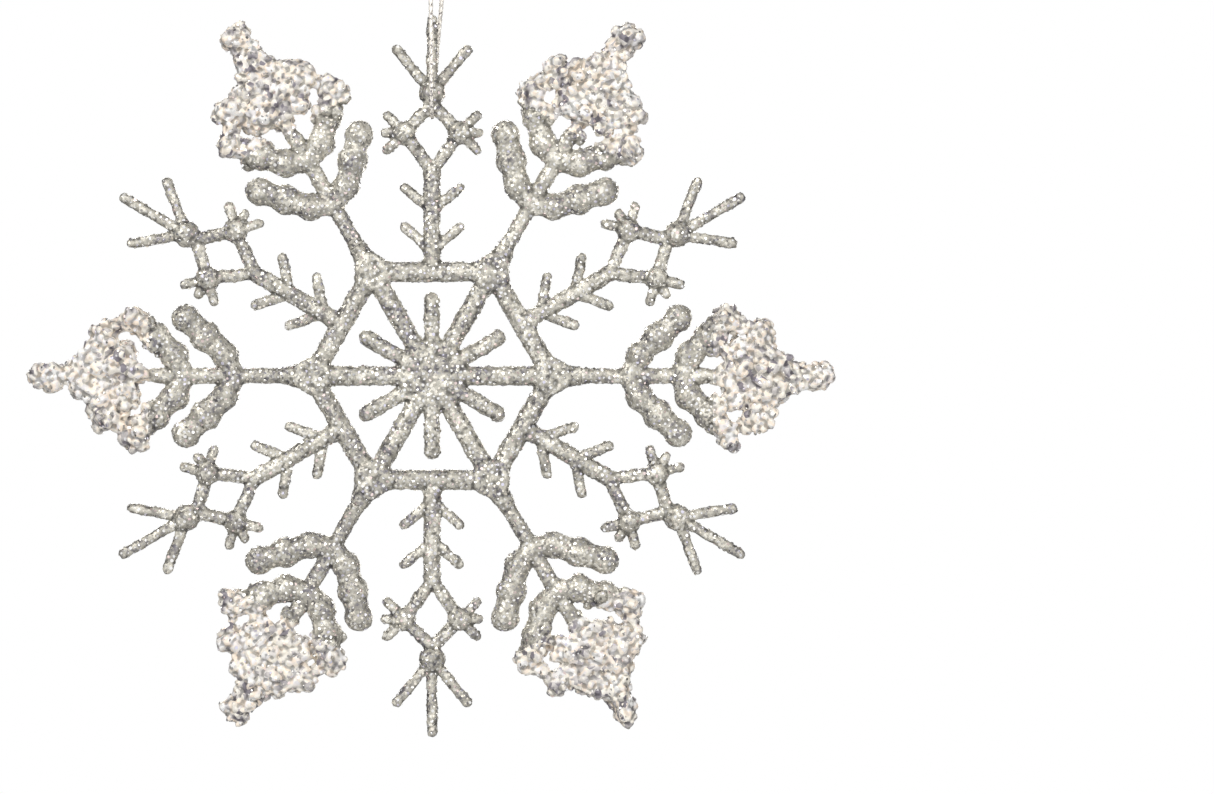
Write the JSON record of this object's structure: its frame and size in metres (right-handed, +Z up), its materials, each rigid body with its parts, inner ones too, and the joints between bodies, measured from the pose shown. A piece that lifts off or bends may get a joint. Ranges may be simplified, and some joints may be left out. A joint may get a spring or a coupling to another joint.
{
  "type": "snowflake ornament",
  "caption": "Flat openwork snowflake of glittered moulded plastic, with long lobed arms between short branched arms on a hexagonal ring, hung on a knotted loop of metallic thread.",
  "frame": {"origin": "the centre of the flake's hub, midway through its thickness", "axes": "+Z up along the arm that carries the thread, +X to the right along a long arm, -Y out of the flake's face"},
  "size_m": [0.102, 0.0052, 0.1362],
  "materials": {
    "glittered_plastic": "silver-grey moulded plastic under a dense coat of fine silver and white glitter",
    "coarse_glitter": "the same plastic under coarse white and cream glitter grains",
    "metallic_thread": "silver lurex-style braided thread with dark twist marks"
  },
  "bodies": {
    "hanger": {"thread_knot": "metallic_thread", "left_tail": "metallic_thread", "right_tail": "metallic_thread"},
    "strands": {"front_strand": "metallic_thread", "back_strand": "metallic_thread"},
    "bight": {"thread_bight": "metallic_thread"},
    "flake": {"hub_star": "glittered_plastic", "ring_bar_1": "glittered_plastic", "ring_bar_2": "glittered_plastic", "ring_bar_3": "glittered_plastic", "ring_bar_4": "glittered_plastic", "ring_bar_5": "glittered_plastic", "ring_bar_6": "glittered_plastic", "major_arm_1": "glittered_plastic", "major_arm_2": "glittered_plastic", "major_arm_3": "glittered_plastic", "major_arm_4": "glittered_plastic", "major_arm_5": "glittered_plastic", "major_arm_6": "glittered_plastic", "major_tip_1": "coarse_glitter", "major_tip_2": "coarse_glitter", "major_tip_3": "coarse_glitter", "major_tip_4": "coarse_glitter", "major_tip_5": "coarse_glitter", "major_tip_6": "coarse_glitter", "minor_arm_1": "glittered_plastic", "minor_arm_2": "glittered_plastic", "minor_arm_3": "glittered_plastic", "minor_arm_4": "glittered_plastic", "minor_arm_5": "glittered_plastic", "minor_arm_6": "glittered_plastic"}
  },
  "joints": [
    {"name": "thread_swing", "type": "hinge", "parent": "hanger", "child": "strands", "pos_m": [0.0003, 0, 0.0836], "axis": [1, 0, 0], "range_deg": [-30, 30]},
    {"name": "thread_turn", "type": "hinge", "parent": "strands", "child": "bight", "pos_m": [0, 0, 0.0475], "axis": [0, 0, 1], "range_deg": [-180, 180]},
    {"name": "flake_rock", "type": "hinge", "parent": "bight", "child": "flake", "pos_m": [0, 0, 0.033], "axis": [0, 1, 0], "range_deg": [-25, 25]}
  ]
}
